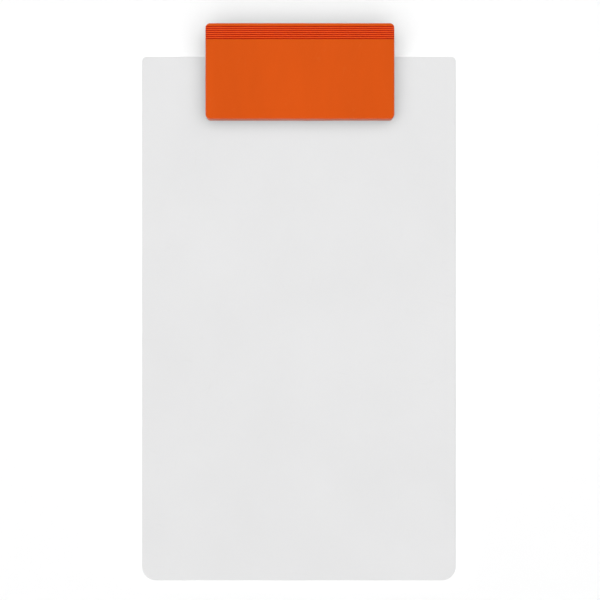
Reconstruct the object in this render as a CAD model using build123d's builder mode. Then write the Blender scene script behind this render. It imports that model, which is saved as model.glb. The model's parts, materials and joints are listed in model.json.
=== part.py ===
"""A legal-size clipboard: a flat plastic board with a sprung plastic pinch clip across its top edge.

The board lies on its back. +Z points up out of the writing face, +Y runs up the board towards the clip,
and X runs across it. The origin is on the clip's centre line, halfway along the whole length, on the surface
that it lies on.
All sizes are in millimetres and all angles in degrees.
"""

import os
from math import acos, atan2, cos, degrees, hypot, radians, sin

from build123d import *

# ---------------------------------------------------------------- driving dimensions

# Board: 9 in x 15 in x 1/8 in sheet
BOARD_WIDTH = 228.6
BOARD_LENGTH = 381.0
BOARD_THICKNESS = 3.2
BOARD_ASIDE = -0.7
BOARD_TOP_CORNER = 3.6
BOARD_BOTTOM_CORNER = 10.5
BOARD_EDGE_ROUND = 0.7

# Clip outline, as seen from the front
CLIP_WIDTH = 136.0
CLIP_LENGTH = 68.9
CLIP_OVERHANG = 22.3
CLIP_CORNER = 3.3

# Heights above the surface that the clipboard lies on
BACK_DEPTH = 4.0
BOARD_FRONT = BACK_DEPTH + BOARD_THICKNESS
FACE_HEIGHT = BOARD_FRONT + 12.3
THROAT_HEIGHT = BOARD_FRONT + 4.8
PIN_HEIGHT = BOARD_FRONT + 2.2
LIP_HEIGHT = BOARD_FRONT + 0.2
STOP_HEIGHT = 7.0

# Front lever: walls, jaw and ribs
FACE_WALL = 2.2
FACE_ROUND = 1.1
SKIRT_WALL = 2.0
JAW_WALL = 2.8
JAW_FOOT = 4.4
JAW_FOOT_HEIGHT = 2.4
JAW_TEETH = 4
JAW_TOOTH = 0.9
JAW_TOOTH_DEPTH = 0.35
THROAT_SLOPE = 5.0
THROAT_ROUND = 3.0
GRIP_WALL_DEPTH = 6.4
GRIP_SLOPE = 6.0
GRIP_ROUND = 6.0
RIB_WALL = 1.4
LEVER_RIB_DEPTH = 3.5
LEVER_RIB_X = (-57.0, -22.0, 0.0, 22.0, 57.0)
GUSSET_DEPTH = 5.1
GUSSET_REACH = 6.0
CROSS_RIB_BELOW_EDGE = 16.0

# Grip grooves
GROOVE_COUNT = 7
GROOVE_PITCH = 1.44
GROOVE_FIRST = 2.54
GROOVE_MOUTH = 0.76
GROOVE_BOTTOM = 0.36
GROOVE_DEPTH = 0.75
GROOVE_RECESS = 0.08
GROOVE_ROUND = 0.12
BACK_GRIP_X = (-35.0, 35.0)
BACK_GRIP_WIDTH = 50.0

# Back plate
BACK_INSET = 0.8
BACK_WALL = 2.0
RIM_WALL = 1.8
BACK_ROUND = 1.0
BOARD_RIB_X = (-51.0, -34.0, -17.0, 0.0, 17.0, 34.0, 51.0)
GRIP_RIB_X = (-57.0, 57.0)
BOARD_STOP_START = 0.15
BOARD_STOP_WALL = 0.95
BOARD_STOP_HEIGHT = 6.5
HANG_RADIUS = 3.0
HANG_BOSS_RADIUS = 5.5
HANG_BELOW_TOP = 8.6

# Hinge: each spring bay has a lever lug and then a back lug on either side
PIN_RADIUS = 1.5
PIN_PAST_EDGE = 5.0
PIN_HEAD_RADIUS = 2.5
PIN_HEAD = 0.9
PIN_TAIL = 1.8
PIN_END_CHAMFER = 0.4
BAY_MIDDLE = 38.35
BAY_WIDTH = 12.2
LUG_RADIUS = 3.5
LUG_WALL = 3.0
LUG_GAP = 0.25
BACK_LUG_HOLE = PIN_RADIUS + 0.02
LEVER_LUG_HOLE = PIN_RADIUS + 0.06
LEVER_LUG_FOOT = 5.5
BACK_LUG_FOOT = 7.5
RETAINER_RADIUS = 3.3
RETAINER_FLAT = 2.3
RETAINER_WALL = 0.4
RETAINER_DISH = 0.6
RETAINER_TONGUES = 6
RETAINER_SLOT = 0.45
SQUEEZE_ANGLE = 22.0
STOP_GAP = 0.15
STOP_X = (-22.0, 22.0)
STOP_WALL = 3.0
STOP_REACH = 11.5

# Torsion springs
WIRE = 1.4
COIL_RADIUS = 2.8
COIL_PITCH = 1.5
COIL_WHOLE_TURNS = 5
LEG_REACH = 12.5
LEG_CLEARANCE = 0.05
LEG_DRIFT = 1.1
LEG_GUIDE_GAP = 2.2
LEG_GUIDE_WALL = 1.0
LEG_GUIDE_DEPTH = 1.4
LEG_GUIDE_REACH = 9.5

# Rivets
RIVET_X = (-51.0, -17.0, 17.0, 51.0)
RIVET_BELOW_EDGE = 9.0
RIVET_SHANK = 1.7
RIVET_HOLE = 1.8
RIVET_HEAD_RADIUS = 3.6
RIVET_HEAD = 1.1
RIVET_HEAD_RIM = 0.25
RIVET_BORE = 1.1
RIVET_BORE_DEPTH = 3.0
RIVET_BOSS_RADIUS = 5.2
TAIL_RADIUS = 2.7
TAIL_HEIGHT = 0.7
TAIL_CURL = 0.3
SINK_RADIUS = 4.1
SINK_DEPTH = 1.5
WASHER_RADIUS = 3.8
WASHER_HOLE = 1.75
WASHER_WALL = 0.5

# ---------------------------------------------------------------- places worked out from them

TOP = (BOARD_LENGTH + CLIP_OVERHANG) / 2
BOARD_EDGE = TOP - CLIP_OVERHANG
BOARD_MIDDLE = BOARD_EDGE - BOARD_LENGTH / 2
LIP = TOP - CLIP_LENGTH
CLIP_MIDDLE = TOP - CLIP_LENGTH / 2
FACE_INSIDE = FACE_HEIGHT - FACE_WALL
LEVER_INSIDE_X = CLIP_WIDTH / 2 - SKIRT_WALL
LEVER_INSIDE_TOP = TOP - SKIRT_WALL
LEVER_INSIDE_LIP = LIP + JAW_WALL
BACK_WIDTH = CLIP_WIDTH - 2 * BACK_INSET
BACK_LENGTH = CLIP_LENGTH - 2 * BACK_INSET
BACK_INSIDE_TOP = TOP - BACK_INSET - RIM_WALL
BACK_INSIDE_LIP = LIP + BACK_INSET + RIM_WALL
PIN_Y = BOARD_EDGE + PIN_PAST_EDGE
RIVET_Y = BOARD_EDGE - RIVET_BELOW_EDGE
HANG_Y = TOP - HANG_BELOW_TOP
OVERLAP = 0.5

INNER_LEVER_LUG = BAY_MIDDLE - BAY_WIDTH / 2 - LUG_WALL
OUTER_LEVER_LUG = BAY_MIDDLE + BAY_WIDTH / 2
INNER_BACK_LUG = INNER_LEVER_LUG - LUG_GAP - LUG_WALL
OUTER_BACK_LUG = OUTER_LEVER_LUG + LUG_WALL + LUG_GAP
PIN_END = OUTER_BACK_LUG + LUG_WALL

# A spring leg is the tangent from the coil to the place where its tip bears, as angles about the pin
lever_rise = FACE_INSIDE - PIN_HEIGHT - WIRE / 2 - LEG_CLEARANCE
back_drop = PIN_HEIGHT - BACK_WALL - WIRE / 2 - LEG_CLEARANCE
LEVER_TIP = hypot(LEG_REACH, lever_rise)
BACK_TIP = hypot(LEG_REACH, back_drop)
LEVER_TANGENT = degrees(atan2(lever_rise, LEG_REACH) + acos(COIL_RADIUS / LEVER_TIP))
BACK_TANGENT = -degrees(atan2(back_drop, LEG_REACH) + acos(COIL_RADIUS / BACK_TIP))
COIL_TURNS = COIL_WHOLE_TURNS + (BACK_TANGENT + 360 - LEVER_TANGENT) / 360
COIL_LENGTH = COIL_TURNS * COIL_PITCH

# ---------------------------------------------------------------- shared profiles


def across(x):
    """A plane across the hinge at x, with its origin on the pin, +Y to its right and +Z up."""
    return Plane(origin=(x, PIN_Y, PIN_HEIGHT), x_dir=(0, 1, 0), z_dir=(1, 0, 0))


def wall_planes(*starts, wall):
    """Planes for walls that start at each distance from the middle and thicken away from it, both sides."""
    return [across(x) for x in starts] + [across(-x - wall) for x in starts]


def lug_profile(foot_start, foot_end, foot_height):
    """A hinge lug: a round eye on the pin, with straight flanks to its foot."""
    with BuildSketch() as profile:
        Circle(LUG_RADIUS)
        with BuildLine():
            Line((foot_start, foot_height), (foot_end, foot_height))
        make_hull()
    return profile.sketch


def groove_profile(face, outward):
    """Cutter for the grip grooves in the face at that height; outward is 1 on the front, -1 on the back."""
    crest = face - outward * GROOVE_RECESS
    floor = face - outward * GROOVE_DEPTH
    clear = face + outward * OVERLAP
    points = []
    for index in range(GROOVE_COUNT):
        middle = TOP - GROOVE_FIRST - index * GROOVE_PITCH
        points += [
            (middle + GROOVE_MOUTH / 2, crest),
            (middle + GROOVE_BOTTOM / 2, floor),
            (middle - GROOVE_BOTTOM / 2, floor),
            (middle - GROOVE_MOUTH / 2, crest),
        ]
    first, last = points[0], points[-1]
    with BuildSketch() as profile:
        with BuildLine():
            FilletPolyline(*points, radius=GROOVE_ROUND)
            Polyline(last, (last[0] - OVERLAP / 2, clear), (first[0] + OVERLAP / 2, clear), first)
        make_face()
    return profile.sketch


def squeezed(reach, height):
    """Where a point of the squeezed lever, given from the pin, is while the lever is at rest."""
    angle = radians(SQUEEZE_ANGLE)
    return reach * cos(angle) - height * sin(angle), reach * sin(angle) + height * cos(angle)


# ---------------------------------------------------------------- board

with BuildPart() as board:
    with BuildSketch(Plane.XY.offset(BACK_DEPTH)):
        with Locations((BOARD_ASIDE, BOARD_MIDDLE)):
            Rectangle(BOARD_WIDTH, BOARD_LENGTH)
    extrude(amount=BOARD_THICKNESS)
    fillet(board.edges().filter_by(Axis.Z).group_by(Axis.Y)[0], BOARD_BOTTOM_CORNER)
    fillet(board.edges().filter_by(Axis.Z).group_by(Axis.Y)[-1], BOARD_TOP_CORNER)
    fillet(board.faces().filter_by(Axis.Z).edges(), BOARD_EDGE_ROUND)
    with BuildSketch(Plane.XY.offset(BACK_DEPTH)):
        with Locations(*[(x, RIVET_Y) for x in RIVET_X]):
            Circle(RIVET_HOLE)
    extrude(amount=BOARD_THICKNESS, mode=Mode.SUBTRACT)

# ---------------------------------------------------------------- front lever of the clip

with BuildPart() as clip_front:
    # Shell: a shallow tray turned over, with the board's side left open
    with BuildSketch(Plane.XY.offset(LIP_HEIGHT)):
        with Locations((0, CLIP_MIDDLE)):
            RectangleRounded(CLIP_WIDTH, CLIP_LENGTH, CLIP_CORNER)
    extrude(amount=FACE_HEIGHT - LIP_HEIGHT)
    fillet(clip_front.faces().sort_by(Axis.Z)[-1].edges(), FACE_ROUND)
    inside_length = LEVER_INSIDE_TOP - LEVER_INSIDE_LIP
    with BuildSketch(Plane.XY.offset(LIP_HEIGHT)):
        with Locations((0, LEVER_INSIDE_LIP + inside_length / 2)):
            RectangleRounded(2 * LEVER_INSIDE_X, inside_length, CLIP_CORNER - SKIRT_WALL)
    extrude(amount=FACE_INSIDE - LIP_HEIGHT, mode=Mode.SUBTRACT)

    # Jaw foot and the rib across, behind the rivets
    foot_depth = JAW_FOOT - JAW_WALL
    with BuildSketch(Plane.XY.offset(LIP_HEIGHT)):
        with Locations((0, LEVER_INSIDE_LIP + foot_depth / 2)):
            Rectangle(2 * LEVER_INSIDE_X + OVERLAP, foot_depth + OVERLAP)
    extrude(amount=JAW_FOOT_HEIGHT)
    with BuildSketch(Plane.XY.offset(FACE_INSIDE - LEVER_RIB_DEPTH)):
        with Locations((0, BOARD_EDGE - CROSS_RIB_BELOW_EDGE)):
            Rectangle(2 * LEVER_INSIDE_X + OVERLAP, RIB_WALL)
    extrude(amount=LEVER_RIB_DEPTH + OVERLAP)

    # Ribs along the lever, each with a gusset against the jaw
    jaw = LEVER_INSIDE_LIP - PIN_Y
    roof = FACE_INSIDE - PIN_HEIGHT
    with BuildSketch(*[across(x - RIB_WALL / 2) for x in LEVER_RIB_X]):
        with BuildLine():
            Polyline(
                (jaw - OVERLAP, roof + OVERLAP),
                (LEVER_INSIDE_TOP - PIN_Y + OVERLAP, roof + OVERLAP),
                (LEVER_INSIDE_TOP - PIN_Y + OVERLAP, roof - LEVER_RIB_DEPTH),
                (jaw + GUSSET_REACH, roof - LEVER_RIB_DEPTH),
                (jaw, roof - GUSSET_DEPTH),
                (jaw - OVERLAP, roof - GUSSET_DEPTH),
                close=True,
            )
        make_face()
    extrude(amount=RIB_WALL)

    # Noses that stop the squeeze on the back plate's posts
    nose_inner = squeezed(STOP_REACH, STOP_HEIGHT + STOP_GAP - PIN_HEIGHT)
    nose_outer = squeezed(LEVER_INSIDE_TOP - PIN_Y + OVERLAP, STOP_HEIGHT + STOP_GAP - PIN_HEIGHT)
    with BuildSketch(*[across(x - STOP_WALL / 2) for x in STOP_X]):
        with BuildLine():
            Polyline(
                nose_inner,
                nose_outer,
                (nose_outer[0], roof + OVERLAP),
                (nose_inner[0], roof + OVERLAP),
                close=True,
            )
        make_face()
    extrude(amount=STOP_WALL)

    # Hinge lugs
    with BuildSketch(*wall_planes(INNER_LEVER_LUG, OUTER_LEVER_LUG, wall=LUG_WALL)):
        add(lug_profile(-LEVER_LUG_FOOT, LEVER_LUG_FOOT, roof + OVERLAP))
    extrude(amount=LUG_WALL)
    with BuildSketch(across(-PIN_END)):
        Circle(LEVER_LUG_HOLE)
    extrude(amount=2 * PIN_END, mode=Mode.SUBTRACT)

    # Skirts: deep at the jaw, then raised over the throat and the hinge
    nose = LIP + JAW_FOOT - PIN_Y
    end = TOP - PIN_Y
    throat = THROAT_HEIGHT - PIN_HEIGHT
    grip = FACE_HEIGHT - GRIP_WALL_DEPTH - PIN_HEIGHT
    below = LIP_HEIGHT - PIN_HEIGHT - OVERLAP
    with BuildSketch(across(LEVER_INSIDE_X - OVERLAP), across(-CLIP_WIDTH / 2 - OVERLAP)):
        with BuildLine():
            FilletPolyline(
                (nose, below),
                (nose, LIP_HEIGHT - PIN_HEIGHT),
                (nose + THROAT_SLOPE, throat),
                (end - GRIP_SLOPE, throat),
                (end + OVERLAP, grip),
                radius=(0, THROAT_ROUND, GRIP_ROUND),
            )
            Polyline((end + OVERLAP, grip), (end + OVERLAP, below), (nose, below))
        make_face()
    extrude(amount=SKIRT_WALL + 2 * OVERLAP, mode=Mode.SUBTRACT)
    with BuildSketch(across(-LEVER_INSIDE_X)):
        with BuildLine():
            Polyline(
                (end - SKIRT_WALL - OVERLAP, grip),
                (end + OVERLAP, grip),
                (end + OVERLAP, below),
                (end - SKIRT_WALL - OVERLAP, below),
                close=True,
            )
        make_face()
    extrude(amount=2 * LEVER_INSIDE_X, mode=Mode.SUBTRACT)

    # Teeth along the jaw foot, and grip grooves over the other end of the face
    with BuildSketch(across(-CLIP_WIDTH / 2)):
        tooth_y = [LIP + (index + 1) * JAW_TOOTH - PIN_Y for index in range(JAW_TEETH)]
        with Locations(*[(y, LIP_HEIGHT - PIN_HEIGHT) for y in tooth_y]):
            RegularPolygon(JAW_TOOTH_DEPTH, 4)
    extrude(amount=CLIP_WIDTH, mode=Mode.SUBTRACT)
    with BuildSketch(Plane.YZ.offset(-CLIP_WIDTH / 2)):
        add(groove_profile(FACE_HEIGHT, 1))
    extrude(amount=CLIP_WIDTH, mode=Mode.SUBTRACT)

    # Guides for the spring legs
    leg_x = [side * BAY_MIDDLE + COIL_LENGTH / 2 + LEG_DRIFT for side in (-1, 1)]
    leg_offset = (LEG_GUIDE_GAP + LEG_GUIDE_WALL) / 2
    with BuildSketch(Plane.XY.offset(FACE_INSIDE - LEG_GUIDE_DEPTH)):
        guide_length = LEVER_INSIDE_TOP - PIN_Y - LEG_GUIDE_REACH
        with Locations(*[(x + s * leg_offset, PIN_Y + LEG_GUIDE_REACH) for x in leg_x for s in (-1, 1)]):
            Rectangle(LEG_GUIDE_WALL, guide_length + OVERLAP, align=(Align.CENTER, Align.MIN))
    extrude(amount=LEG_GUIDE_DEPTH + OVERLAP)

# ---------------------------------------------------------------- back plate of the clip

with BuildPart() as clip_back:
    # Tray: a floor with a rim, on which the board rests
    with BuildSketch():
        with Locations((0, CLIP_MIDDLE)):
            RectangleRounded(BACK_WIDTH, BACK_LENGTH, CLIP_CORNER)
    extrude(amount=BACK_DEPTH)
    fillet(clip_back.faces().sort_by(Axis.Z)[0].edges(), BACK_ROUND)
    with BuildSketch(Plane.XY.offset(BACK_WALL)):
        with Locations((0, CLIP_MIDDLE)):
            RectangleRounded(BACK_WIDTH - 2 * RIM_WALL, BACK_LENGTH - 2 * RIM_WALL, CLIP_CORNER - RIM_WALL)
    extrude(amount=BACK_DEPTH - BACK_WALL, mode=Mode.SUBTRACT)

    # Ribs and bosses under the board, ribs under the grip, and the boss round the hanging hole
    with BuildSketch(Plane.XY.offset(BACK_WALL - OVERLAP)):
        rib_end = BOARD_EDGE + BOARD_STOP_START + OVERLAP
        board_rib = rib_end - BACK_INSIDE_LIP + OVERLAP
        with Locations(*[(x, BACK_INSIDE_LIP - OVERLAP) for x in BOARD_RIB_X]):
            Rectangle(RIB_WALL, board_rib, align=(Align.CENTER, Align.MIN))
        grip_rib = BACK_INSIDE_TOP + OVERLAP - rib_end
        with Locations(*[(x, rib_end) for x in GRIP_RIB_X]):
            Rectangle(RIB_WALL, grip_rib, align=(Align.CENTER, Align.MIN))
        with Locations(*[(x, RIVET_Y) for x in RIVET_X]):
            Circle(RIVET_BOSS_RADIUS)
        with Locations((0, HANG_Y)):
            Circle(HANG_BOSS_RADIUS)
    extrude(amount=BACK_DEPTH - BACK_WALL + OVERLAP)

    # Low wall that the board's top edge butts against
    with BuildSketch(Plane.XY.offset(BACK_WALL - OVERLAP)):
        with Locations((0, BOARD_EDGE + BOARD_STOP_START)):
            Rectangle(
                BACK_WIDTH - 2 * RIM_WALL + OVERLAP, BOARD_STOP_WALL, align=(Align.CENTER, Align.MIN)
            )
    extrude(amount=BOARD_STOP_HEIGHT - BACK_WALL + OVERLAP)

    # Posts that the lever's noses come down on
    with BuildSketch(Plane.XY.offset(BACK_WALL - OVERLAP)):
        post_start = PIN_Y + STOP_REACH
        with Locations(*[(x, post_start) for x in STOP_X]):
            Rectangle(
                STOP_WALL, BACK_INSIDE_TOP + OVERLAP - post_start, align=(Align.CENTER, Align.MIN)
            )
    extrude(amount=STOP_HEIGHT - BACK_WALL + OVERLAP)

    # Hinge lugs
    with BuildSketch(*wall_planes(INNER_BACK_LUG, OUTER_BACK_LUG, wall=LUG_WALL)):
        add(lug_profile(-LUG_RADIUS, BACK_LUG_FOOT, BACK_WALL - OVERLAP - PIN_HEIGHT))
    extrude(amount=LUG_WALL)
    with BuildSketch(across(-PIN_END)):
        Circle(BACK_LUG_HOLE)
    extrude(amount=2 * PIN_END, mode=Mode.SUBTRACT)

    # Guides for the spring legs
    leg_x = [side * BAY_MIDDLE - COIL_LENGTH / 2 - LEG_DRIFT for side in (-1, 1)]
    with BuildSketch(Plane.XY.offset(BACK_WALL - OVERLAP)):
        guide_start = PIN_Y + LEG_GUIDE_REACH
        with Locations(*[(x + s * leg_offset, guide_start) for x in leg_x for s in (-1, 1)]):
            Rectangle(
                LEG_GUIDE_WALL, BACK_INSIDE_TOP + OVERLAP - guide_start, align=(Align.CENTER, Align.MIN)
            )
    extrude(amount=LEG_GUIDE_DEPTH + OVERLAP)

    # Holes: hanging hole, and a sunk seat behind each rivet hole
    with Locations(Plane.XY.rotated((180, 0, 0))):
        with Locations((0, -HANG_Y)):
            Hole(HANG_RADIUS)
        with Locations(*[(x, -RIVET_Y) for x in RIVET_X]):
            CounterBoreHole(RIVET_HOLE, SINK_RADIUS, SINK_DEPTH)

    # Grip grooves on the outer face, either side of the hanging hole
    grip_starts = [Plane.YZ.offset(x - BACK_GRIP_WIDTH / 2) for x in BACK_GRIP_X]
    with BuildSketch(*grip_starts):
        add(groove_profile(0.0, -1))
    extrude(amount=BACK_GRIP_WIDTH, mode=Mode.SUBTRACT)

# ---------------------------------------------------------------- hinge pin and its retainer

with BuildPart() as hinge_pin:
    with BuildSketch(across(-PIN_END - PIN_HEAD)):
        Circle(PIN_HEAD_RADIUS)
    extrude(amount=PIN_HEAD)
    fillet(hinge_pin.edges().group_by(Axis.X)[0], PIN_HEAD / 2)
    with BuildSketch(across(-PIN_END)):
        Circle(PIN_RADIUS)
    extrude(amount=2 * PIN_END + PIN_TAIL)
    chamfer(hinge_pin.edges().group_by(Axis.X)[-1], PIN_END_CHAMFER)

with BuildPart() as pin_retainer:
    # Push-on retainer: a flat ring with dished tongues that grip the pin
    with BuildSketch(Plane(origin=(PIN_END, PIN_Y, PIN_HEIGHT), x_dir=(1, 0, 0), z_dir=(0, 0, 1))):
        with BuildLine():
            Polyline(
                (0, RETAINER_RADIUS),
                (0, RETAINER_FLAT),
                (RETAINER_DISH, PIN_RADIUS),
                (RETAINER_DISH + RETAINER_WALL, PIN_RADIUS),
                (RETAINER_WALL, RETAINER_FLAT + RETAINER_WALL / 2),
                (RETAINER_WALL, RETAINER_RADIUS),
                close=True,
            )
        make_face()
    revolve(axis=Axis((PIN_END, PIN_Y, PIN_HEIGHT), (1, 0, 0)))
    with BuildSketch(across(PIN_END)):
        tongue = RETAINER_FLAT - PIN_RADIUS
        with PolarLocations(PIN_RADIUS + tongue / 2, RETAINER_TONGUES):
            Rectangle(tongue + RETAINER_SLOT, RETAINER_SLOT)
    extrude(amount=RETAINER_DISH + 2 * RETAINER_WALL, mode=Mode.SUBTRACT)

# ---------------------------------------------------------------- torsion springs


def torsion_spring(middle):
    """One spring round the pin, with its start leg on the back plate and its end leg on the lever."""
    tangent = radians(BACK_TANGENT)
    coil_plane = Plane(
        origin=(middle - COIL_LENGTH / 2, PIN_Y, PIN_HEIGHT),
        x_dir=(0, cos(tangent), sin(tangent)),
        z_dir=(1, 0, 0),
    )
    coil = coil_plane * Helix(COIL_PITCH, COIL_LENGTH, COIL_RADIUS, lefthand=True)
    back_leg = (BACK_TIP**2 - COIL_RADIUS**2) ** 0.5
    lever_leg = (LEVER_TIP**2 - COIL_RADIUS**2) ** 0.5
    back_way = coil % 0
    lever_way = coil % 1
    with BuildPart() as spring:
        with BuildLine() as centre:
            Line(coil @ 0 - back_way * (back_leg / hypot(back_way.Y, back_way.Z)), coil @ 0)
            add(coil)
            Line(coil @ 1, coil @ 1 + lever_way * (lever_leg / hypot(lever_way.Y, lever_way.Z)))
        with BuildSketch(Plane(origin=centre.line @ 0, z_dir=centre.line % 0)):
            Circle(WIRE / 2)
        sweep(path=centre.wire())
    return spring


right_spring = torsion_spring(BAY_MIDDLE)
left_spring = torsion_spring(-BAY_MIDDLE)

# ---------------------------------------------------------------- rivets and washers

tail_back = SINK_DEPTH - WASHER_WALL

with BuildPart() as rivets:
    # Semi-tubular rivet: low domed head in front, tail rolled over its washer behind
    crown = (0, BOARD_FRONT + RIVET_HEAD)
    rim = (RIVET_HEAD_RADIUS, BOARD_FRONT + RIVET_HEAD_RIM)
    tail_end = tail_back - TAIL_HEIGHT
    bore_end = tail_end + RIVET_BORE_DEPTH
    for rivet_x in RIVET_X:
        with BuildSketch(Plane(origin=(rivet_x, RIVET_Y, 0), x_dir=(1, 0, 0), z_dir=(0, -1, 0))):
            with BuildLine():
                TangentArc(crown, rim, tangent=(1, 0))
                FilletPolyline(
                    rim,
                    (RIVET_HEAD_RADIUS, BOARD_FRONT),
                    (RIVET_SHANK, BOARD_FRONT),
                    (RIVET_SHANK, tail_back),
                    (TAIL_RADIUS, tail_back),
                    (TAIL_RADIUS, tail_end),
                    (RIVET_BORE, tail_end),
                    (RIVET_BORE, bore_end),
                    radius=(0, 0, 0, TAIL_CURL, TAIL_CURL, TAIL_CURL),
                )
                Polyline((RIVET_BORE, bore_end), (0, bore_end + RIVET_BORE / 2), crown)
            make_face()
        revolve(axis=Axis((rivet_x, RIVET_Y, 0), (0, 0, 1)))

with BuildPart() as rivet_washers:
    with BuildSketch(Plane.XY.offset(tail_back)):
        with Locations(*[(x, RIVET_Y) for x in RIVET_X]):
            Circle(WASHER_RADIUS)
            Circle(WASHER_HOLE, mode=Mode.SUBTRACT)
    extrude(amount=WASHER_WALL)

# ---------------------------------------------------------------- files

pieces = {
    "board": board,
    "clip_front": clip_front,
    "clip_back": clip_back,
    "hinge_pin": hinge_pin,
    "pin_retainer": pin_retainer,
    "left_spring": left_spring,
    "right_spring": right_spring,
    "rivets": rivets,
    "rivet_washers": rivet_washers,
}

os.makedirs("parts", exist_ok=True)
for name, piece in pieces.items():
    piece.part.label = name
    export_step(piece.part, f"parts/{name}.step")
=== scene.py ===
import json
from math import acos, atan2, ceil, cos, hypot, pi, radians, sin, tan

import bmesh
import bpy
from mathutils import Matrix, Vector


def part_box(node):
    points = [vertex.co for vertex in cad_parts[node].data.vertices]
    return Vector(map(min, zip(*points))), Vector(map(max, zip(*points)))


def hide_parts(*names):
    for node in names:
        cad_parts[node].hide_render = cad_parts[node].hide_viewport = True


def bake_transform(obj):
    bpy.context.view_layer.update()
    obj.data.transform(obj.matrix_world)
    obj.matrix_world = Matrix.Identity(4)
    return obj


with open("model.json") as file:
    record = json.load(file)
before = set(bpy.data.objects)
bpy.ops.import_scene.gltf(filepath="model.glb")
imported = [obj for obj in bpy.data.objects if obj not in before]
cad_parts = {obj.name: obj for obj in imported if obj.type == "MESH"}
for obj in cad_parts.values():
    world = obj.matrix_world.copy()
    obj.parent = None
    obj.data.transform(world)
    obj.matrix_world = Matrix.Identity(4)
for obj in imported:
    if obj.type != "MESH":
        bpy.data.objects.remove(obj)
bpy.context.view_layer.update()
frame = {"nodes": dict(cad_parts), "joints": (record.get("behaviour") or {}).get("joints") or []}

# A legal-size clipboard: its finishes, its two wound springs, the table, the lights and the camera.
# Lengths are metres in the CAD frame: the board lies on its back, +Z out of it and +Y towards the clip.

MM = 0.001
nodes = frame["nodes"]
hinge = frame["joints"][0]
PIN = Vector(hinge["pos_m"])

board_low, board_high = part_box("board")
_, lever_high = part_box("clip_front")
back_low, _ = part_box("clip_back")
rivets_low, rivets_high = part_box("rivets")

# Grip grooves, the same on the front lever and on the back plate
GROOVE_COUNT = 7
GROOVE_FIRST = 2.54 * MM
GROOVE_PITCH = 1.44 * MM
GROOVE_MOUTH = 0.76 * MM
GROOVE_DEPTH = 0.75 * MM
GROOVE_RECESS = 0.08 * MM
BACK_GRIP_X = 35.0 * MM
BACK_GRIP_WIDTH = 50.0 * MM

# The rounded bottom edge of the back plate, which touches the table that far in
BACK_ROUND = 1.0 * MM

# Rivets, and how fine their turned rings are across and along the rivet
RIVET_PITCH = 34.0 * MM
RIVET_RINGS_ACROSS = 6000.0
RIVET_RINGS_ALONG = 3000.0

# Torsion springs
WIRE = 1.4 * MM
COIL_RADIUS = 2.8 * MM
COIL_PITCH = 1.5 * MM
COIL_WHOLE_TURNS = 5
LEG_REACH = 12.5 * MM
LEG_CLEARANCE = 0.05 * MM
BACK_WALL = 2.0 * MM
FACE_WALL = 2.2 * MM
RINGS_PER_TURN = 40
RING_SIDES = 18
LEG_RINGS = 10
TIP_ROUND = 0.18 * MM
TIP_RINGS = 4
TIP_TURN = 0.92 * pi / 2

# Colours
BOARD_WHITE = (0.745, 0.745, 0.748)
BOARD_RUBBED = (0.60, 0.595, 0.585)
BOARD_SCRATCH = (0.62, 0.62, 0.62)
ORANGE = (0.660, 0.0885, 0.0078)
# Paler orange on the edges: partly real wear, partly a painted edge highlight
ORANGE_WORN_AND_LIT = (0.70, 0.17, 0.045)
ORANGE_SCRATCH = (0.70, 0.20, 0.06)
# Painted shade for the floors of the grip grooves
GROOVE_SHADE_TINT = (0.84, 0.06, 0.01)
# Painted highlight for the ridges between the grip grooves
CREST_HIGHLIGHT_TINT = (1.25, 1.06, 1.7)
TABLE_DARKER = (0.895, 0.895, 0.895)
TABLE_PALER = (0.905, 0.905, 0.905)


# ---------------------------------------------------------------- node materials


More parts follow.
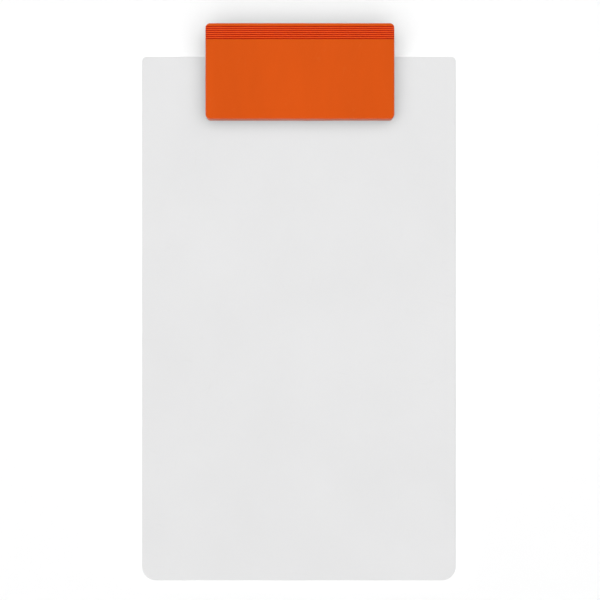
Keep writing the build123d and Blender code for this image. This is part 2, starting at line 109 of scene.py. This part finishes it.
class Finish:
    """A node material being made, with short ways to add nodes and link them."""

    def __init__(self, name):
        self.material = bpy.data.materials.new(name)
        self.material.use_nodes = True
        self.tree = self.material.node_tree
        self.tree.nodes.clear()
        self.shader = self.node("ShaderNodeBsdfPrincipled")
        output = self.node("ShaderNodeOutputMaterial")
        self.tree.links.new(self.shader.outputs["BSDF"], output.inputs["Surface"])
        coordinates = self.node("ShaderNodeTexCoord")
        self.place = coordinates.outputs["Object"]
        self.facing = coordinates.outputs["Normal"]
        axes = self.node("ShaderNodeSeparateXYZ", Vector=self.place)
        self.x, self.y, self.z = axes.outputs

    def node(self, kind, settings=None, **inputs):
        """Adds a node, and sets or links its inputs by name or, as in _0, by number."""
        made = self.tree.nodes.new(kind)
        for key, value in (settings or {}).items():
            setattr(made, key, value)
        for key, value in inputs.items():
            name = int(key[1:]) if key.startswith("_") else key.replace("_", " ")
            self.feed(made.inputs[name], value)
        return made

    def feed(self, socket, value):
        if isinstance(value, bpy.types.NodeSocket):
            self.tree.links.new(value, socket)
        elif hasattr(value, "__len__") and len(value) == 3 and socket.type == "RGBA":
            socket.default_value = (*value, 1.0)
        else:
            socket.default_value = value

    def math(self, operation, first, second=0.0, clamp=False):
        settings = {"operation": operation, "use_clamp": clamp}
        return self.node("ShaderNodeMath", settings, _0=first, _1=second).outputs[0]

    def spread(self, value, low, high, to_low=0.0, to_high=1.0):
        """Maps low to to_low and high to to_high, and holds those values outside."""
        made = self.node(
            "ShaderNodeMapRange",
            {"interpolation_type": "LINEAR", "clamp": True},
            Value=value,
            From_Min=low,
            From_Max=high,
            To_Min=to_low,
            To_Max=to_high,
        )
        return made.outputs["Result"]

    def stretched(self, scale, turn=0.0, move=(0.0, 0.0, 0.0)):
        """The place, turned about Z by turn degrees, scaled along each axis and then moved."""
        settings = {"rotation_type": "Z_AXIS"}
        turned = self.node("ShaderNodeVectorRotate", settings, Vector=self.place, Angle=radians(turn))
        made = self.node("ShaderNodeMapping", Vector=turned.outputs[0], Location=move, Scale=scale)
        return made.outputs[0]

    def noise(self, scale, detail=2.0, roughness=0.5, at=None, warp=0.0):
        made = self.node(
            "ShaderNodeTexNoise",
            Vector=at or self.place,
            Scale=scale,
            Detail=detail,
            Roughness=roughness,
            Distortion=warp,
        )
        return made.outputs[0]

    def cells(self, scale, at=None):
        settings = {"feature": "SMOOTH_F1"}
        made = self.node("ShaderNodeTexVoronoi", settings, Vector=at or self.place, Scale=scale)
        return made.outputs["Distance"]

    def blend(self, share, first, second, mode="MIX"):
        """Mixes two colours."""
        settings = {"data_type": "RGBA", "blend_type": mode}
        return self.node("ShaderNodeMix", settings, _0=share, _6=first, _7=second).outputs[2]

    def times(self, colour, tint):
        """A colour multiplied by a tint."""
        return self.blend(1.0, colour, tint, "MULTIPLY")

    def hairlines(self, turn, length, gap, width, keep):
        """Fine straight scratches in one direction; a larger keep leaves them on more of the surface."""
        # A scratch runs wherever long thin noise crosses its middle level, in patches of a coarser noise
        thin = (1 / length, 1 / gap, 1 / gap)
        line = self.noise(1.0, 1.0, at=self.stretched(thin, turn, (turn, turn / 7, 0.3)))
        offset = self.math("ABSOLUTE", self.math("SUBTRACT", line, 0.5))
        sharp = self.spread(offset, 0.0, width / gap, 1.0, 0.0)
        coarse = (3 / length, 0.4 / gap, 0.4 / gap)
        patches = self.noise(1.0, 2.0, at=self.stretched(coarse, turn, (turn, 2.0, 1.7)))
        level = 0.62 - keep / 4
        return self.math("MULTIPLY", sharp, self.spread(patches, level, level + 0.06))

    def scratches(self, *families):
        """Hairlines in several directions, each family given as hairlines takes it."""
        marks = self.hairlines(*families[0])
        for family in families[1:]:
            marks = self.math("MAXIMUM", marks, self.hairlines(*family))
        return marks

    def edges(self, radius, samples=6):
        """Rounds the look of sharp edges: gives the rounded normal, and how near an edge a point is."""
        rounded = self.node("ShaderNodeBevel", {"samples": samples}, Radius=radius).outputs[0]
        true_normal = self.node("ShaderNodeNewGeometry").outputs["Normal"]
        turn = self.node("ShaderNodeVectorMath", {"operation": "DOT_PRODUCT"}, _0=rounded, _1=true_normal)
        return rounded, self.spread(turn.outputs["Value"], 0.995, 0.85)

    def relief(self, *layers, normal=None):
        """Bumps given as (height, depth in metres), laid on one another."""
        for height, depth in layers:
            inputs = {"Height": height, "Distance": depth, "Strength": 1.0}
            if normal is not None:
                inputs["Normal"] = normal
            normal = self.node("ShaderNodeBump", **inputs).outputs[0]
        self.set(Normal=normal)

    def set(self, **inputs):
        for key, value in inputs.items():
            self.feed(self.shader.inputs[key.replace("_", " ")], value)


def tinted(colour, factor):
    return tuple(channel * factor for channel in colour)


def board_finish():
    """White moulded plastic sheet: satin pebble, faint clouding, rubbed edges and hairline scratches."""
    f = Finish("board_plastic_look")
    clouds = f.spread(f.noise(14.0, 3.0, 0.55), 0.3, 0.7)
    specks = f.spread(f.noise(2600.0, 2.0), 0.35, 0.65)
    pebble = f.cells(1500.0)
    rounded, edge = f.edges(0.3 * MM)
    marks = f.scratches(
        (17, 60 * MM, 5 * MM, 0.05 * MM, 0.2),
        (96, 45 * MM, 6 * MM, 0.06 * MM, 0.15),
        (-38, 80 * MM, 9 * MM, 0.05 * MM, 0.1),
    )
    colour = f.blend(clouds, tinted(BOARD_WHITE, 0.982), tinted(BOARD_WHITE, 1.010))
    colour = f.blend(specks, colour, f.times(colour, (0.985, 0.985, 0.985)))
    rub = f.math("MULTIPLY", edge, f.spread(f.noise(260.0, 4.0, 0.6), 0.25, 0.7, 0.3, 1.0))
    colour = f.blend(f.math("MULTIPLY", rub, 0.7), colour, BOARD_RUBBED)
    colour = f.blend(f.math("MULTIPLY", marks, 0.10), colour, BOARD_SCRATCH)
    # The cut edges all round show fine marks across their thickness
    upward = f.node("ShaderNodeSeparateXYZ", Vector=f.facing).outputs["Z"]
    side = f.spread(f.math("ABSOLUTE", upward), 0.6, 0.2)
    cuts = f.noise(1.0, 3.0, at=f.stretched((1900.0, 1900.0, 160.0)))
    cut_share = f.math("MULTIPLY", side, f.spread(cuts, 0.3, 0.7, 0.0, 0.25))
    colour = f.blend(cut_share, colour, tinted(BOARD_WHITE, 0.9))
    worn = f.spread(f.noise(55.0, 4.0, 0.6), 0.3, 0.7, 0.40, 0.50)
    gloss = f.math("ADD", worn, f.math("MULTIPLY", pebble, 0.06))
    f.set(
        Base_Color=colour,
        Roughness=f.math("ADD", gloss, f.math("MULTIPLY", marks, 0.15), clamp=True),
        IOR=1.53,
        Specular_IOR_Level=0.35,
    )
    f.relief(
        (f.noise(24.0, 2.0), 0.06 * MM),
        (pebble, 0.02 * MM),
        (f.math("MULTIPLY", side, cuts), 0.03 * MM),
        (f.math("SUBTRACT", 1.0, marks), 0.01 * MM),
        normal=rounded,
    )
    return f.material


def orange_finish(name, face, outward, grip_middle, grip_half):
    """Orange moulded plastic with a fine eroded texture.

    face is the height of its grooved outer side, which faces up if outward is 1 and down if it is -1.
    The grooves reach grip_half to either side of grip_middle, and again of its mirror image.
    """
    f = Finish(name)
    first = lever_high.y - GROOVE_FIRST
    last = first - (GROOVE_COUNT - 1) * GROOVE_PITCH
    aside = f.math("SUBTRACT", f.math("ABSOLUTE", f.x), grip_middle)
    in_width = f.math("LESS_THAN", f.math("ABSOLUTE", aside), grip_half)
    along = f.math("SUBTRACT", f.y, (first + last) / 2)
    in_rows = f.math("LESS_THAN", f.math("ABSOLUTE", along), (first - last + GROOVE_PITCH) / 2)
    in_grip = f.math("MULTIPLY", in_width, in_rows)
    row = f.math("DIVIDE", f.math("SUBTRACT", first, f.y), GROOVE_PITCH)
    off_row = f.math("ABSOLUTE", f.math("SUBTRACT", row, f.math("ROUND", row)))
    in_mouth = f.math("LESS_THAN", off_row, (GROOVE_MOUTH / 2 + 0.03 * MM) / GROOVE_PITCH)
    depth = f.math("MULTIPLY", f.math("SUBTRACT", face, f.z), outward)
    near_face = f.math("LESS_THAN", depth, 1.05 * GROOVE_DEPTH)
    near_crest = f.math("LESS_THAN", depth, GROOVE_RECESS + 0.05 * MM)
    # Inside the grooves the colour is darkened and reddened as painted shade, and the ridges between them
    # are brightened as a painted highlight
    below_lip = f.spread(depth, 0.10 * MM, 0.30 * MM)
    groove_shade = f.math("MULTIPLY", below_lip, f.math("MULTIPLY", in_mouth, near_face))
    groove_shade = f.math("MULTIPLY", groove_shade, in_grip)
    crest_highlight = f.math("MULTIPLY", f.spread(depth, 0.03 * MM, 0.06 * MM), near_crest)
    crest_highlight = f.math("MULTIPLY", crest_highlight, f.math("SUBTRACT", in_grip, groove_shade, clamp=True))
    flow = f.noise(1.0, 3.0, 0.55, at=f.stretched((38.0, 11.0, 38.0)), warp=0.4)
    grain = f.noise(3200.0, 3.0, 0.6)
    rounded, edge = f.edges(0.22 * MM)
    colour = f.blend(f.spread(flow, 0.3, 0.7), tinted(ORANGE, 0.965), tinted(ORANGE, 1.03))
    colour = f.blend(f.spread(grain, 0.3, 0.7), colour, f.times(colour, (0.95, 0.93, 0.93)))
    # Painted shade in the grooves
    colour = f.blend(groove_shade, colour, f.times(colour, GROOVE_SHADE_TINT))
    # Painted highlight on the ridges between the grooves
    colour = f.blend(crest_highlight, colour, f.times(colour, CREST_HIGHLIGHT_TINT))
    # Edges turn paler orange and glossier: partly real wear, partly a painted edge highlight
    wear_and_edge_highlight = f.math("MULTIPLY", edge, f.spread(f.noise(420.0, 4.0, 0.65), 0.42, 0.72))
    colour = f.blend(f.math("MULTIPLY", wear_and_edge_highlight, 0.45), colour, ORANGE_WORN_AND_LIT)
    marks = f.scratches(
        (31, 30 * MM, 4 * MM, 0.05 * MM, 0.15),
        (-72, 40 * MM, 5 * MM, 0.05 * MM, 0.1),
    )
    colour = f.blend(f.math("MULTIPLY", marks, 0.12), colour, ORANGE_SCRATCH)
    gloss = f.spread(f.noise(70.0, 4.0, 0.6), 0.3, 0.7, 0.34, 0.46)
    gloss = f.math("SUBTRACT", gloss, f.math("MULTIPLY", wear_and_edge_highlight, 0.08))
    f.set(
        Base_Color=colour,
        Roughness=f.math("ADD", gloss, f.math("MULTIPLY", f.spread(grain, 0.3, 0.7), 0.06), clamp=True),
        IOR=1.49,
        Specular_IOR_Level=0.3,
    )
    f.relief(
        (flow, 0.05 * MM),
        (f.noise(1300.0, 2.0), 0.03 * MM),
        (grain, 0.022 * MM),
        (f.math("SUBTRACT", 1.0, marks), 0.01 * MM),
        normal=rounded,
    )
    return f.material


def metal_finish(name, light, dark, gloss, along=None, ring_pitch=None, tarnished=1.0):
    """Plated or bare steel with dull spots and fine pits.

    It has streaks, whose scale along each axis is along, or without it turned rings about each rivet.
    """
    f = Finish(name)
    if along:
        streaks = f.noise(1.0, 3.0, 0.6, at=f.stretched(along))
    else:
        # Rings about the nearest rivet's axis
        wrapped = f.math("SUBTRACT", f.math("FLOORED_MODULO", f.x, ring_pitch), ring_pitch / 2)
        across = f.math("SUBTRACT", f.y, (rivets_low.y + rivets_high.y) / 2)
        spot = f.node("ShaderNodeCombineXYZ", X=wrapped, Y=across).outputs[0]
        radius = f.node("ShaderNodeVectorMath", {"operation": "LENGTH"}, _0=spot).outputs["Value"]
        outward = f.math("MULTIPLY", radius, RIVET_RINGS_ACROSS)
        upward = f.math("MULTIPLY", f.z, RIVET_RINGS_ALONG)
        ring = f.node("ShaderNodeCombineXYZ", X=outward, Y=upward).outputs[0]
        streaks = f.noise(1.0, 2.0, at=ring)
    tarnish = f.spread(f.noise(420.0, 4.0, 0.6, warp=0.3), 0.38, 0.75, 0.0, tarnished)
    pits = f.spread(f.cells(2800.0), 0.0, 0.16, 1.0, 0.0)
    rounded, edge = f.edges(0.12 * MM, 4)
    colour = f.blend(f.spread(streaks, 0.3, 0.7), tinted(light, 0.94), light)
    colour = f.blend(f.math("MULTIPLY", tarnish, 0.55), colour, dark)
    colour = f.blend(f.math("MULTIPLY", edge, 0.4), colour, tinted(light, 1.12))
    rough = f.spread(streaks, 0.3, 0.7, gloss, gloss + 0.1)
    f.set(
        Base_Color=colour,
        Metallic=1.0,
        Roughness=f.math("ADD", rough, f.math("MULTIPLY", tarnish, 0.16), clamp=True),
    )
    f.relief((streaks, 0.003 * MM), (f.math("SUBTRACT", 1.0, pits), 0.003 * MM), normal=rounded)
    return f.material


def table_finish():
    """A plain, very pale painted table."""
    f = Finish("table_look")
    clouds = f.spread(f.noise(5.0, 3.0), 0.3, 0.7)
    f.set(Base_Color=f.blend(clouds, TABLE_DARKER, TABLE_PALER), Roughness=0.9, Specular_IOR_Level=0.0)
    return f.material


def dress(name, material):
    """Gives a CAD node its finish."""
    node = nodes[name]
    node.data.materials.clear()
    node.data.materials.append(material)


# ---------------------------------------------------------------- springs


def spring_line(middle):
    """Centre line of one torsion spring: its leg on the back plate, its coil, and its leg on the lever."""
    lever_rise = lever_high.z - FACE_WALL - PIN.z - WIRE / 2 - LEG_CLEARANCE
    back_drop = PIN.z - BACK_WALL - WIRE / 2 - LEG_CLEARANCE
    lever_tip = hypot(LEG_REACH, lever_rise)
    back_tip = hypot(LEG_REACH, back_drop)
    start = -atan2(back_drop, LEG_REACH) - acos(COIL_RADIUS / back_tip)
    finish = atan2(lever_rise, LEG_REACH) + acos(COIL_RADIUS / lever_tip) - 2 * pi * (COIL_WHOLE_TURNS + 1)
    length = (start - finish) / (2 * pi) * COIL_PITCH
    count = ceil((start - finish) / (2 * pi) * RINGS_PER_TURN)
    coil = []
    for index in range(count + 1):
        share = index / count
        angle = start + (finish - start) * share
        along = middle - length / 2 + length * share
        coil.append(Vector((along, PIN.y + COIL_RADIUS * cos(angle), PIN.z + COIL_RADIUS * sin(angle))))
    rise = COIL_PITCH / (2 * pi * COIL_RADIUS)
    first_way = Vector((rise, sin(start), -cos(start)))
    last_way = Vector((rise, sin(finish), -cos(finish)))
    back_leg = (back_tip**2 - COIL_RADIUS**2) ** 0.5
    lever_leg = (lever_tip**2 - COIL_RADIUS**2) ** 0.5
    steps = [(index + 1) / LEG_RINGS for index in range(LEG_RINGS)]
    before = [coil[0] - first_way * back_leg * step for step in reversed(steps)]
    after = [coil[-1] + last_way * lever_leg * step for step in steps]
    return before + coil + after, coil[0].x, coil[-1].x


def wire_mesh(name, line, radius):
    """A round wire swept along a line of points, its rings carried without twist, with rounded tips."""
    ways = []
    for index in range(len(line)):
        ahead = line[min(index + 1, len(line) - 1)]
        behind = line[max(index - 1, 0)]
        ways.append((ahead - behind).normalized())
    rings = [(point, way, radius) for point, way in zip(line, ways)]
    # Each tip draws in over a few rings
    for index in range(1, TIP_RINGS + 1):
        turn = index / TIP_RINGS * TIP_TURN
        inset = TIP_ROUND * (1 - cos(turn))
        reach = TIP_ROUND * sin(turn)
        rings.insert(0, (line[0] - ways[0] * reach, ways[0], radius - inset))
        rings.append((line[-1] + ways[-1] * reach, ways[-1], radius - inset))
    mesh = bmesh.new()
    side = rings[0][1].orthogonal().normalized()
    loops = []
    for point, way, size in rings:
        side = (side - way * side.dot(way)).normalized()
        up = way.cross(side)
        loop = []
        for corner in range(RING_SIDES):
            angle = 2 * pi * corner / RING_SIDES
            loop.append(mesh.verts.new(point + (side * cos(angle) + up * sin(angle)) * size))
        loops.append(loop)
    for loop, after in zip(loops, loops[1:]):
        for corner in range(RING_SIDES):
            beside = (corner + 1) % RING_SIDES
            mesh.faces.new((loop[corner], loop[beside], after[beside], after[corner]))
    mesh.faces.new(reversed(loops[0]))
    mesh.faces.new(loops[-1])
    for face in mesh.faces:
        face.smooth = len(face.verts) == 4
    bmesh.ops.recalc_face_normals(mesh, faces=mesh.faces)
    data = bpy.data.meshes.new(name)
    mesh.to_mesh(data)
    mesh.free()
    piece = bpy.data.objects.new(name, data)
    bpy.context.scene.collection.objects.link(piece)
    return piece


def wound_spring(name, node, material):
    """A spring whose coil winds up between the back plate and the lever."""
    low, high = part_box(node)
    line, coil_start, coil_end = spring_line((low.x + high.x) / 2)
    piece = wire_mesh(name, line, WIRE / 2)
    piece.data.materials.append(material)
    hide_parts(node)
    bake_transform(piece)
    return piece


# ---------------------------------------------------------------- table, lights and camera

TABLE_SIZE = 80.0

# How bright each light makes a white surface that lies flat where it aims
OVERHEAD_LIGHT = 0.64
SHADED_OVERHEAD_LIGHT = 0.22
OVERHEAD_PLACE = (0.0, -2.0, 14.0)
OVERHEAD_SPREAD = 53.0
KEY_LIGHT = 0.17
KEY_PLACE = (0.0, 0.15, 1.35)
KEY_RADIUS = 0.12
SIDE_LIGHT = 0.03
LEFT_SOFTBOX_PLACE = (-1.5, -0.6, 1.1)
LEFT_SOFTBOX_SIZE = (0.8, 0.8)
RIGHT_SOFTBOX_PLACE = (1.3, 1.0, 1.0)
RIGHT_SOFTBOX_SIZE = (0.7, 0.9)

# The world's brightness by height above the horizon, in degrees, and by the way one looks
RIM_LOW = 2.0
RIM_HIGH = 6.0
RIM_LIGHT = 0.98
WORLD_LOW = 4.0
WORLD_HIGH = 34.0
WORLD_LIGHT = 0.74
WORLD_FAR_SIDE = 0.35
WORLD_WAY = (-0.6, 0.8, 0.0)

CAMERA_LENS = 95.0
CAMERA_SENSOR = 36.0
CAMERA_HEIGHT = 1.1513
CAMERA_ASIDE = Vector((0.06 * MM, 2.35 * MM, 0.0))
CAMERA_FARTHEST = 100.0


def lay_table():
    """The table touches the clip's back plate and the board's free end, as the clipboard lies on it."""
    lip = back_low.y + BACK_ROUND
    drop = board_low.z / (lip - board_low.y)
    mesh = bpy.data.meshes.new("table")
    corners = []
    for x, y in ((-1, -1), (1, -1), (1, 1), (-1, 1)):
        far_y = y * TABLE_SIZE / 2
        corners.append((x * TABLE_SIZE / 2, far_y, (lip - far_y) * drop))
    mesh.from_pydata(corners, [], [(0, 1, 2, 3)])
    table = bpy.data.objects.new("table", mesh)
    bpy.context.scene.collection.objects.link(table)
    table.data.materials.append(table_finish())


def aimed_light(name, place, target, brightness, size, glossy):
    """An area light that brightens the flat surface at target by brightness.

    It is a disc if size is a number, its width, and a rectangle if size is a pair.
    """
    light = bpy.data.lights.new(name, "AREA")
    lamp = bpy.data.objects.new(name, light)
    bpy.context.scene.collection.objects.link(lamp)
    way = Vector(target) - Vector(place)
    lamp.location = place
    lamp.rotation_euler = way.to_track_quat("-Z", "Y").to_euler()
    lamp.visible_camera = False
    lamp.visible_glossy = glossy
    # A lamp that no reflection shows is only sampled directly, so the clip's shadow from it is whole
    light.cycles.use_multiple_importance_sampling = glossy
    if isinstance(size, tuple):
        light.shape = "RECTANGLE"
        light.size, light.size_y = size
        light.energy = pi * pi * way.length**2 * brightness / abs(way.normalized().z)
    else:
        light.shape = "DISK"
        light.size = size
        share = (size / 2) ** 2 / ((size / 2) ** 2 + way.length**2)
        light.energy = pi * pi * (size / 2) ** 2 * brightness / share
    return lamp


def hang_lights():
    """A wide soft light overhead, a small one beside the camera, two side softboxes and a pale horizon."""
    middle = (0.0, 0.0, board_high.z)
    width = 2 * OVERHEAD_PLACE[2] * tan(radians(OVERHEAD_SPREAD))
    aimed_light("shaded_overhead", OVERHEAD_PLACE, middle, SHADED_OVERHEAD_LIGHT, width, False)
    overhead = aimed_light("overhead", OVERHEAD_PLACE, middle, OVERHEAD_LIGHT, width, False)
    # The thin board throws no shadow from the stronger wide light, so the table stays pale round it
    unshaded = bpy.data.collections.new("unshaded")
    unshaded.objects.link(nodes["board"])
    unshaded.collection_objects[0].light_linking.link_state = "EXCLUDE"
    overhead.light_linking.blocker_collection = unshaded
    below_key = (0.0, KEY_PLACE[1], board_high.z)
    aimed_light("key", KEY_PLACE, below_key, KEY_LIGHT, 2 * KEY_RADIUS, False)
    aimed_light("left_softbox", LEFT_SOFTBOX_PLACE, middle, SIDE_LIGHT, LEFT_SOFTBOX_SIZE, True)
    aimed_light("right_softbox", RIGHT_SOFTBOX_PLACE, middle, SIDE_LIGHT, RIGHT_SOFTBOX_SIZE, True)

    world = bpy.data.worlds.new("studio")
    bpy.context.scene.world = world
    world.use_nodes = True
    tree = world.node_tree
    tree.nodes.clear()
    way = tree.nodes.new("ShaderNodeTexCoord")
    axes = tree.nodes.new("ShaderNodeSeparateXYZ")
    tree.links.new(way.outputs["Generated"], axes.inputs[0])

    def ramp(value, low, high, to_low, to_high):
        made = tree.nodes.new("ShaderNodeMapRange")
        made.interpolation_type = "SMOOTHSTEP"
        made.inputs["From Min"].default_value = low
        made.inputs["From Max"].default_value = high
        made.inputs["To Min"].default_value = to_low
        made.inputs["To Max"].default_value = to_high
        tree.links.new(value, made.inputs["Value"])
        return made.outputs["Result"]

    def by_height(low, high, at_low):
        """at_low up to low degrees above the horizon, and nothing from high degrees up."""
        return ramp(axes.outputs["Z"], sin(radians(low)), sin(radians(high)), at_low, 0.0)

    side = tree.nodes.new("ShaderNodeVectorMath")
    side.operation = "DOT_PRODUCT"
    side.inputs[1].default_value = WORLD_WAY
    tree.links.new(way.outputs["Generated"], side.inputs[0])
    glow = tree.nodes.new("ShaderNodeMath")
    glow.operation = "MULTIPLY"
    tree.links.new(by_height(WORLD_LOW, WORLD_HIGH, WORLD_LIGHT), glow.inputs[0])
    tree.links.new(ramp(side.outputs["Value"], -1.0, 1.0, WORLD_FAR_SIDE, 1.0), glow.inputs[1])
    # Close above the horizon the world is as pale as the table all round
    both = tree.nodes.new("ShaderNodeMix")
    tree.links.new(by_height(RIM_LOW, RIM_HIGH, 1.0), both.inputs["Factor"])
    tree.links.new(glow.outputs[0], both.inputs["A"])
    both.inputs["B"].default_value = RIM_LIGHT
    background = tree.nodes.new("ShaderNodeBackground")
    background.inputs["Color"].default_value = (1.0, 1.0, 1.0, 1.0)
    output = tree.nodes.new("ShaderNodeOutputWorld")
    tree.links.new(both.outputs["Result"], background.inputs["Strength"])
    tree.links.new(background.outputs[0], output.inputs["Surface"])


def place_camera():
    """Straight above the board, square to it, with the clip at the top of the picture."""
    camera = bpy.data.cameras.new("camera")
    camera.sensor_width = CAMERA_SENSOR
    camera.lens = CAMERA_LENS
    camera.clip_end = CAMERA_FARTHEST
    holder = bpy.data.objects.new("camera", camera)
    bpy.context.scene.collection.objects.link(holder)
    holder.location = CAMERA_ASIDE + Vector((0.0, 0.0, board_high.z + CAMERA_HEIGHT))
    bpy.context.scene.camera = holder


# ---------------------------------------------------------------- the whole picture

spring_steel = metal_finish(
    "spring_steel_look",
    light=(0.50, 0.49, 0.47),
    dark=(0.22, 0.20, 0.18),
    gloss=0.30,
    along=(700, 700, 700),
)
pin_steel = metal_finish(
    "pin_look",
    light=(0.66, 0.66, 0.64),
    dark=(0.36, 0.35, 0.33),
    gloss=0.24,
    along=(60, 2500, 2500),
)
retainer_steel = metal_finish(
    "retainer_look",
    light=(0.46, 0.45, 0.44),
    dark=(0.18, 0.17, 0.16),
    gloss=0.32,
    along=(400, 1200, 1200),
)
rivet_steel = metal_finish(
    "rivet_look",
    light=(0.70, 0.68, 0.64),
    dark=(0.40, 0.38, 0.35),
    gloss=0.26,
    ring_pitch=RIVET_PITCH,
    tarnished=0.4,
)
washer_steel = metal_finish(
    "washer_look",
    light=(0.58, 0.58, 0.57),
    dark=(0.30, 0.30, 0.29),
    gloss=0.30,
    along=(900, 500, 900),
)
lever_orange = orange_finish("lever_look", lever_high.z, 1.0, 0.0, lever_high.x)
back_orange = orange_finish("back_plate_look", back_low.z, -1.0, BACK_GRIP_X, BACK_GRIP_WIDTH / 2)

dress("board", board_finish())
dress("clip_front", lever_orange)
dress("clip_back", back_orange)
dress("hinge_pin", pin_steel)
dress("pin_retainer", retainer_steel)
dress("rivets", rivet_steel)
dress("rivet_washers", washer_steel)

wound_spring("left_spring_wire", "left_spring", spring_steel)
wound_spring("right_spring_wire", "right_spring", spring_steel)

# The clip adds no glow of its own colour to the white round it, so its soft shadow stays neutral
nodes["clip_front"].visible_diffuse = False
nodes["clip_back"].visible_diffuse = False

lay_table()
hang_lights()
place_camera()
bpy.context.scene.view_settings.view_transform = "Standard"
